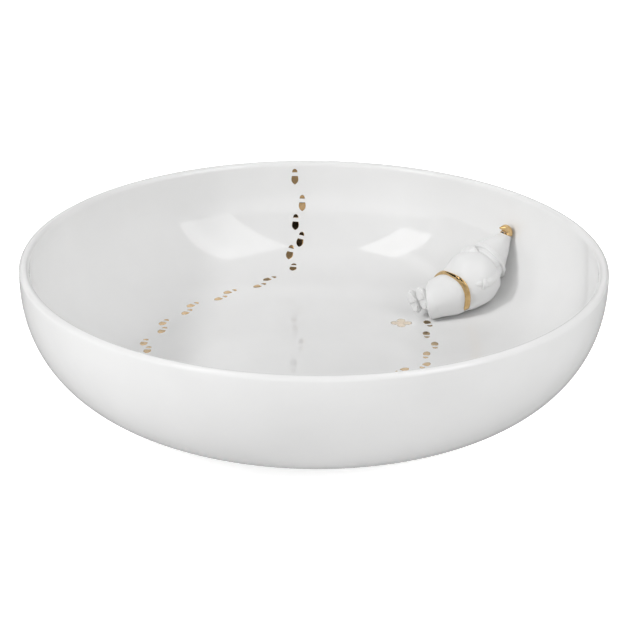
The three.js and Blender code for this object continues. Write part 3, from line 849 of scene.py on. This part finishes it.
def ball(frame_here, left, front, along, sizes, shape=None, sides=48, steps=32):
    """An egg in a frame's axes, with an optional change of shape in its own axes."""
    tilts = np.linspace(-QUARTER_TURN, QUARTER_TURN, steps + 1)
    angles = ring_angles(sides)
    rings = []
    for tilt in tilts:
        ring = np.stack([
            -np.cos(angles) * math.cos(tilt),
            np.sin(angles) * math.cos(tilt),
            np.full(sides, math.sin(tilt)),
        ], axis=1)
        rings.append(ring)
    balls = np.array(rings)[1:-1].reshape(-1, 3)
    poles = np.array([[0, 0, -1.0], [0, 0, 1.0]])
    every = np.vstack([balls, poles])
    if shape:
        every = shape(every)
    every = every * np.array(sizes)
    placed = frame_here.points(every[:, 0] + left, every[:, 1] + front, every[:, 2] + along)
    return skin(placed[:-2].reshape(steps - 1, sides, 3), placed[-2], placed[-1])


def head_shell():
    def cheeks(points):
        out = np.zeros(len(points))
        for side in SIDES.values():
            cheek = unit(np.array([side * 0.62, 0.72, 0.12]))
            out += 0.09 * np.exp(-((points - cheek) ** 2).sum(axis=1) / 0.12)
        behind = smooth_step(-points[:, 1], -0.15, 0.35)
        strands = np.sin(26 * np.arctan2(points[:, 0], -points[:, 1]) + 3 * points[:, 2])
        out += 0.012 * behind * strands
        return points * (1 + out)[:, None]

    here = gnome_frame(HEAD_STATION)
    points, faces = ball(here, 0, 0, 0, (HEAD_RADIUS,) * 3, cheeks, 96, 64)
    return press_on_wall(points), faces


def nose_shell():
    def pear(points):
        along = points[:, 2:3]
        return points * np.hstack([1 - 0.16 * along, 1 - 0.08 * along, np.ones_like(along)])

    here = gnome_frame(NOSE_STATION)
    sizes = (NOSE_RADIUS, NOSE_RADIUS, NOSE_RADIUS * 1.05)
    return ball(here, 0, HEAD_RADIUS - NOSE_SINK, 0, sizes, pear, 40, 28)


def beard_shells():
    """A full beard with wavy strands that runs to a point, and a moustache over it."""
    def strands(points):
        left, front, along = points.T
        down = (1 - along) / 2
        narrow = 1 - 0.62 * smooth_step(down, 0.45, 1.0)
        waves = np.sin(15 * left * (1 + 0.25 * down) + 1.6 * np.sin(5 * down) * np.sign(left))
        groove = 1 + 0.028 * waves * smooth_step(front, -0.2, 0.4) * (1 - along ** 8)
        lean = 0.04 * np.sin(4 * down)
        sloped = front * groove * (1 - 0.25 * down)
        return np.stack([left * narrow * groove + lean, sloped, along], axis=1)

    def whisker(side):
        def shape(points):
            left, front, along = points.T
            out = (1 + side * left) / 2
            thin = 1 - 0.55 * smooth_step(out, 0.35, 1.0)
            waves = 1 + 0.06 * np.sin(11 * along + 4 * out)
            return np.stack([left, front * thin * waves, along * thin * waves - 0.9 * out ** 2 + 0.3], axis=1)
        return shape

    chest = gnome_frame(BEARD_STATION)
    shells = [ball(chest, 0, chest.radius - BEARD_SINK, 0, BEARD_SIZE, strands, 120, 72)]
    face = gnome_frame(NOSE_STATION)
    for side in SIDES.values():
        place = (side * WHISKER_ASIDE, HEAD_RADIUS - WHISKER_SINK, -WHISKER_DROP)
        shells.append(ball(face, *place, WHISKER_SIZE, whisker(side), 40, 28))
    return shells


def hat_frame(share):
    """The gnome's frame on the hat, with the brim tilted up over the face and the tilt fading to the end."""
    here = gnome_frame(BRIM_STATION + (LAST_STATION - BRIM_STATION) * share)
    tilt = -BRIM_TILT * (1 - share) ** 2
    front, towards = here.front, here.towards
    here.front = turned(front, here.left, tilt)
    here.towards = turned(towards, here.left, tilt)
    return here


def hat_shell():
    angles = ring_angles(96)
    body_left, body_front = body_outline(angles)
    left = body_left * math.cos(GNOME_TURN) - body_front * math.sin(GNOME_TURN)
    front = body_front * math.cos(GNOME_TURN) + body_left * math.sin(GNOME_TURN)
    brim = hat_frame(0)
    length = brim.station_length * (LAST_STATION - BRIM_STATION)
    rings = []
    for out, along in BRIM_TURN:
        radius = brim.radius + BRIM_ROLL + out
        rings.append(brim.points(left * radius, front * radius, along))
    for share in np.linspace(0, 1, 96):
        here = hat_frame(share)
        run = share * length
        roll = BRIM_ROLL * math.sqrt(max(1 - (run / BRIM_WIDTH * 2 - 1) ** 2, 0)) if run < BRIM_WIDTH else 0
        roll += 0.25 * BRIM_ROLL * float(bump(run, 0, 0.6))
        crease = -BRIM_CREASE * float(bump(run, BRIM_WIDTH + 0.3, 0.6))
        slack = smooth_step(run, BRIM_WIDTH, BRIM_WIDTH + 3) * (1 - smooth_step(share, 0.75, 1.0))
        folds = HAT_FOLD * slack * np.sin(2 * angles + run * 0.35)
        radius = here.radius + roll + crease + folds
        rings.append(here.points(left * radius, front * radius))
    end = hat_frame(1)
    for turn in HAT_END_TURNS:
        radius = end.radius * math.cos(turn) ** HAT_END_ROUNDNESS
        rings.append(end.points(left * radius, front * radius, HAT_END_CAP * math.sin(turn)))
    points, faces = skin(rings, brim.point(0, 0, -0.2), end.point(0, 0, HAT_END_CAP))
    return press_on_wall(points), faces


def hat_tip_shell():
    base = spine_frame(LAST_STATION)
    route = np.array([
        base.point(0, 0, TIP_START),
        base.point(0, TIP_BEND * 0.1, TIP_START + TIP_REACH * 0.7),
        base.point(0, TIP_BEND * 0.45, TIP_START + TIP_REACH),
        base.point(0, TIP_BEND, TIP_START + TIP_REACH - TIP_DROOP),
    ])
    angles = ring_angles(40)
    frames = route_frames(route, 36, base.left)
    rings = []
    for i, here in enumerate(frames):
        share = i / (len(frames) - 1)
        radius = (base.radius + TIP_OVERLAP) * (1 - share) + TIP_END * share
        radius += TIP_SWELL * math.sin(math.pi * share)
        rings.append(here.points(-np.cos(angles) * radius, np.sin(angles) * radius))
    tip = frames[-1]
    blunt = TIP_END * TIP_BLUNTNESS
    rings.append(tip.points(-np.cos(angles) * blunt, np.sin(angles) * blunt, blunt))
    points, faces = skin(rings, frames[0].centre, tip.point(0, 0, TIP_END))
    return press_on_wall(points), faces


def arm_frames(word):
    route = []
    for station, turn, sink in ARM_PLACES[word]:
        here = gnome_frame(station)
        out = here.radius - sink - SLEEVE_SINK
        turn = math.radians(turn)
        route.append(here.point(SIDES[word] * math.cos(turn) * out, math.sin(turn) * out))
    return route_frames(np.array(route), 56, gnome_frame(ARM_PLACES[word][0][0]).left)


def arm_shell(word):
    """A sleeve with folds inside the elbow and a turned-up cuff."""
    angles = ring_angles(40)
    frames = arm_frames(word)
    left, front = -np.cos(angles), np.sin(angles)
    rings = []
    first = frames[0]
    for turn in SHOULDER_TURNS:
        radius = SLEEVE_RADIUS * math.cos(turn)
        rings.append(first.points(left * radius, front * radius, -SHOULDER_CAP * math.sin(turn)))
    for i, here in enumerate(frames):
        share = i / (len(frames) - 1)
        folds = SLEEVE_FOLD * float(bump(share, 0.55, 0.22)) * np.sin(share * 60 + 1.5 * np.sin(angles))
        cuff = CUFF_ROLL * float(smooth_step(share, 0.86, 0.9))
        groove = CUFF_GROOVE * float(bump(share, 0.84, 0.02))
        radius = SLEEVE_RADIUS + folds + (cuff - groove)
        rings.append(here.points(left * radius, front * radius))
    last = frames[-1]
    for out, along in CUFF_EDGE:
        radius = SLEEVE_RADIUS + out
        rings.append(last.points(left * radius, front * radius, along))
    points, faces = skin(rings, first.point(0, 0, -SHOULDER_CAP), last.point(0, 0, 0.2))
    return press_on_wall(points), faces


def mitten_shells(word):
    def palm(points):
        left, front, along = points.T
        return np.stack([left * (1 - 0.12 * along), front * (1 - 0.15 * along), along], axis=1)

    wrist = arm_frames(word)[-1]
    size = MITTEN_RADIUS
    shells = [ball(wrist, 0, 0, MITTEN_REACH, (size, size * 0.85, size * 1.15), palm, 36, 26)]
    chest = gnome_frame(ARM_PLACES[word][-1][0])
    up = unit(chest.front - wrist.towards * chest.front.dot(wrist.towards))
    way = unit(wrist.towards + up * THUMB_SPREAD)
    thumb = Frame(wrist.centre + up * size * THUMB_LIFT, way, wrist.left, wrist.front, 1.0)
    shells.append(ball(thumb, 0, 0, MITTEN_REACH * THUMB_REACH, THUMB_SIZE, palm, 28, 20))
    return [(press_on_wall(points), faces) for points, faces in shells]


# Boots: X across, Y towards the hem, Z towards the toe
BOOT_LENGTH = 11.0
BOOT_WIDTH = 4.9
SOLE_DEPTH = 1.5
INSTEP_DEPTH = 3.2
BOOT_GAP = 0.4
BOOT_REACH = 3.1
BOOT_RISE = 2.2
LEG_TURN = math.radians(8)
BOOT_TURN = math.radians(58)
SHAFT_RADIUS = 2.5
SHAFT_DROP = 1.8
SHAFT_SINK = 4.0
SHAFT_FOLD = 0.06
# sole and heel pads: share of the outline, height over the boot's sole
PAD_LAYERS = ((0.9, 0.8), (1.0, 0.5), (1.0, -0.15), (0.93, -0.42), (0.75, -0.5))
PAD_TOP = PAD_LAYERS[0][1]
PAD_BOTTOM = -0.52


def boot_frame(side):
    hem = gnome_frame(HEM_STATION)
    away = -hem.towards
    leg = turned(away, hem.front, LEG_TURN)
    sole = turned(away, hem.front, BOOT_TURN)
    across = np.cross(hem.front, sole)
    middle = hem.centre + leg * (HEM_REACH + HEM_CAP + BOOT_REACH) + hem.front * BOOT_RISE
    middle = middle + across * side * (BOOT_WIDTH + BOOT_GAP) / 2
    return Frame(middle, hem.front, across, -sole, 1.0)


def boot_shells(side):
    """A boot with a rounded toe, a soft shaft with a cuff, and a sole and heel pad under it."""
    here = boot_frame(side)
    angles = ring_angles(48)
    rings = []
    for height in -np.cos(np.linspace(0, math.pi, 34)[1:-1]):
        bulge = math.sqrt(1 - height ** 2)
        waist = 1 - 0.16 * float(np.exp(-((height + 0.25) ** 2) / 0.05))
        across = np.cos(angles) * BOOT_WIDTH / 2 * bulge * waist
        depth = np.maximum(np.sin(angles) * INSTEP_DEPTH, -SOLE_DEPTH) * bulge
        rings.append(here.points(across, depth, height * BOOT_LENGTH / 2))
    half = BOOT_LENGTH / 2
    shells = [skin(rings, here.point(0, 0, -half), here.point(0, 0, half))]
    shaft_rings = []
    for share in np.linspace(0, 1, 24):
        run = share * (BOOT_REACH + SHAFT_SINK)
        radius = SHAFT_RADIUS * (1 + SHAFT_FOLD * math.sin(run * 2.2)) + 0.1
        shaft_rings.append(here.points(np.cos(angles) * radius, run, np.sin(angles) * radius - SHAFT_DROP))
    top = BOOT_REACH + SHAFT_SINK
    shells.append(skin(shaft_rings, here.point(0, 0, -SHAFT_DROP), here.point(0, top, -SHAFT_DROP)))
    sole = sole_outline(BOOT_WIDTH * 0.84, BOOT_LENGTH * 0.5) + (0, -BOOT_LENGTH * 0.04)
    heel = heel_outline(BOOT_WIDTH * 0.66, BOOT_LENGTH * 0.24) + (0, -BOOT_LENGTH * 0.2)
    for outline in (sole, heel):
        middle = outline.mean(axis=0)
        pad_rings = []
        for share, lift in PAD_LAYERS:
            flat = middle + (outline - middle) * share
            pad_rings.append(here.points(flat[:, 0], lift - SOLE_DEPTH, flat[:, 1]))
        base = here.point(middle[0], PAD_TOP - SOLE_DEPTH, middle[1])
        shells.append(skin(pad_rings, base, here.point(middle[0], PAD_BOTTOM - SOLE_DEPTH, middle[1])))
    return [(press_on_wall(points), faces) for points, faces in shells]


def make_gnome():
    white = (
        ("coat", [coat_shell()]),
        ("head", [head_shell()]),
        ("nose", [nose_shell()]),
        ("beard", beard_shells()),
        ("hat", [hat_shell()]),
    )
    for name, shells in white:
        add_piece(f"porcelain_{name}", shells, figure_glaze, "figure_glaze", f"gnome_{name}")
    for word, side in SIDES.items():
        limbs = (("arm", [arm_shell(word)]), ("mitten", mitten_shells(word)), ("boot", boot_shells(side)))
        for name, shells in limbs:
            limb = f"{word}_{name}"
            add_piece(f"porcelain_{limb}", shells, figure_glaze, "figure_glaze", f"gnome_{limb}")
    add_piece("gilt_belt", [belt_shell()], relief_gold, "gold_lustre", "gnome_belt")
    add_piece("gilt_hat_tip", [hat_tip_shell()], relief_gold, "gold_lustre", "gnome_hat_tip")


make_bowl()
make_trail()
make_gnome()


# Camera
CAMERA_PLACE = Vector((0, -1.0221, 0.4664))
CAMERA_TARGET = Vector((0.000616, 0, 0.03535))
CAMERA_ROLL = math.radians(0.5534)
CAMERA_LENS = 147.6
SENSOR_WIDTH = 36


def aimed(place, target, roll=0.0):
    """Matrix of something at a place that looks at a target."""
    back = (place - target).normalized()
    right = Vector((0, 0, 1)).cross(back).normalized()
    up = back.cross(right)
    turned_right = right * math.cos(roll) + up * math.sin(roll)
    turned_up = up * math.cos(roll) - right * math.sin(roll)
    axes = Matrix((turned_right, turned_up, back)).transposed().to_4x4()
    axes.translation = place
    return axes


def make_camera():
    camera = bpy.data.objects.new("camera", bpy.data.cameras.new("camera"))
    bpy.context.scene.collection.objects.link(camera)
    camera.data.sensor_fit = "HORIZONTAL"
    camera.data.sensor_width = SENSOR_WIDTH
    camera.data.lens = CAMERA_LENS
    camera.matrix_world = aimed(CAMERA_PLACE, CAMERA_TARGET, CAMERA_ROLL)
    bpy.context.scene.camera = camera


# Light
BOWL_MIDDLE = Vector((0, 0, 0.04))
# name, place, width, height, watts, whether the glaze mirrors it
SOFTBOXES = (
    ("key_left", (-0.54, -0.43, 0.85), 0.28, 0.69, 1.65, True),
    ("fill_right", (0.55, -0.45, 0.72), 0.45, 0.97, 3.0, True),
    ("front_low", (0.0, -2.65, 1.45), 1.2, 1.2, 9.0, False),
    ("left_low", (-2.87, 0.1, 0.85), 0.6, 0.6, 7.7, False),
    ("left_mid", (-2.24, -0.87, 1.79), 0.35, 0.35, 31.0, False),
    ("left_front", (-2.1, -2.1, 0.51), 0.7, 0.7, 15.6, False),
    ("right_mid", (2.29, -1.32, 1.45), 1.2, 1.2, 18.0, False),
    ("right_side", (2.72, 0.73, 1.07), 1.2, 1.2, 13.5, False),
    ("back_left", (-1.48, 1.76, 1.97), 1.2, 1.2, 9.0, False),
)
AMBIENT = 0.145
FLOOR_SIZE = 6.0
FLOOR_WHITE = 0.85
FLOOR_SHADE = 0.99
FLOOR_GLOW = 0.75
CARD_PLACE = Vector((0, -1.3, 1.9))
CARD_SIZE = (3.6, 2.6)
CARD_GREY = 0.01
CEILING_PLACE = Vector((0, 0, 2.4))
CEILING_SIZE = (2.2, 2.0)
CEILING_GREY = 0.35
TABLE_PLACE = Vector((0, 0, -0.002))
TABLE_SIZE = (1.6, 1.6)
TABLE_GREY = 0.4
BACK_PLACE = Vector((0, 1.6, 0.22))
BACK_SIZE = (4.0, 0.44)
BACK_GREY = 0.3
LEFT_PLACE = Vector((-1.6, 0.3, 1.45))
LEFT_SIZE = (2.8, 2.3)


def make_softboxes():
    for name, place, width, height, watts, mirrored in SOFTBOXES:
        lamp = bpy.data.lights.new(name, "AREA")
        lamp.shape = "RECTANGLE"
        lamp.size = width
        lamp.size_y = height
        lamp.energy = watts
        box = bpy.data.objects.new(name, lamp)
        bpy.context.scene.collection.objects.link(box)
        box.matrix_world = aimed(Vector(place), BOWL_MIDDLE)
        box.visible_camera = False
        box.visible_glossy = mirrored


def seen_ray(nodes, links):
    """One for rays that the viewer sees straight, in a mirror or through glass."""
    path = nodes.new("ShaderNodeLightPath")
    straight = nodes.new("ShaderNodeMath")
    straight.operation = "MAXIMUM"
    links.new(path.outputs["Is Camera Ray"], straight.inputs[0])
    links.new(path.outputs["Is Glossy Ray"], straight.inputs[1])
    seen = nodes.new("ShaderNodeMath")
    seen.operation = "MAXIMUM"
    links.new(straight.outputs["Value"], seen.inputs[0])
    links.new(path.outputs["Is Transmission Ray"], seen.inputs[1])
    return seen.outputs["Value"]


def make_world():
    world = bpy.data.worlds.new("studio")
    bpy.context.scene.world = world
    world.use_nodes = True
    nodes, links = world.node_tree.nodes, world.node_tree.links
    soft = nodes["Background"]
    soft.inputs["Color"].default_value = (1, 1, 1, 1)
    soft.inputs["Strength"].default_value = AMBIENT
    white = nodes.new("ShaderNodeBackground")
    white.inputs["Color"].default_value = (1, 1, 1, 1)
    white.inputs["Strength"].default_value = 1.0
    mix = nodes.new("ShaderNodeMixShader")
    links.new(seen_ray(nodes, links), mix.inputs["Fac"])
    links.new(soft.outputs["Background"], mix.inputs[1])
    links.new(white.outputs["Background"], mix.inputs[2])
    links.new(mix.outputs["Shader"], nodes["World Output"].inputs["Surface"])


def stage_sheet(name, width, height, material):
    half_width, half_height = width / 2, height / 2
    corners = [(-half_width, -half_height, 0), (half_width, -half_height, 0),
               (half_width, half_height, 0), (-half_width, half_height, 0)]
    mesh = bpy.data.meshes.new(name)
    mesh.from_pydata(corners, [], [(0, 1, 2, 3)])
    mesh.materials.append(material)
    sheet = bpy.data.objects.new(name, mesh)
    bpy.context.scene.collection.objects.link(sheet)
    return sheet


def make_floor():
    """A white floor that keeps the bowl's soft shadow."""
    material, nodes, links, shader, place = new_material("studio_floor")
    shade = (FLOOR_WHITE * FLOOR_SHADE,) * 3
    cloud = add_noise(nodes, links, place, 1.5)
    white = (FLOOR_WHITE,) * 3
    colour = add_ramp(nodes, links, cloud, (NOISE_LOW, shade), (NOISE_HIGH, white))
    links.new(colour, shader.inputs["Base Color"])
    shader.inputs["Roughness"].default_value = 0.8
    shader.inputs["Specular IOR Level"].default_value = 0.0
    glow = nodes.new("ShaderNodeMath")
    glow.operation = "MULTIPLY"
    glow.inputs[1].default_value = FLOOR_GLOW
    links.new(seen_ray(nodes, links), glow.inputs[0])
    shader.inputs["Emission Color"].default_value = (1, 1, 1, 1)
    links.new(glow.outputs["Value"], shader.inputs["Emission Strength"])
    floor = stage_sheet("floor", FLOOR_SIZE, FLOOR_SIZE, material)
    floor.visible_glossy = False


def make_card(name, size, grey):
    """A dim side of the studio, which only the gold and the glaze mirror."""
    material, _, _, shader, _ = new_material(name)
    shader.inputs["Base Color"].default_value = (0, 0, 0, 1)
    shader.inputs["Roughness"].default_value = 0.9
    shader.inputs["Specular IOR Level"].default_value = 0.0
    shader.inputs["Emission Color"].default_value = (1, 1, 1, 1)
    shader.inputs["Emission Strength"].default_value = grey
    card = stage_sheet(name, *size, material)
    card.visible_camera = False
    card.visible_diffuse = False
    card.visible_shadow = False
    return card


def make_cards():
    card = make_card("front_card", CARD_SIZE, CARD_GREY)
    card.matrix_world = aimed(CARD_PLACE, Vector((0, 0, CARD_PLACE.z)))
    ceiling = make_card("ceiling", CEILING_SIZE, CEILING_GREY)
    ceiling.location = CEILING_PLACE
    table = make_card("table", TABLE_SIZE, TABLE_GREY)
    table.location = TABLE_PLACE
    behind = make_card("back_card", BACK_SIZE, BACK_GREY)
    behind.matrix_world = aimed(BACK_PLACE, Vector((0, 0, BACK_PLACE.z)))
    aside = make_card("left_card", LEFT_SIZE, CARD_GREY)
    aside.matrix_world = aimed(LEFT_PLACE, Vector((0, LEFT_PLACE.y, LEFT_PLACE.z)))


make_camera()
make_softboxes()
make_world()
make_floor()
make_cards()
bpy.context.scene.view_settings.view_transform = "Standard"

bpy.context.view_layer.update()
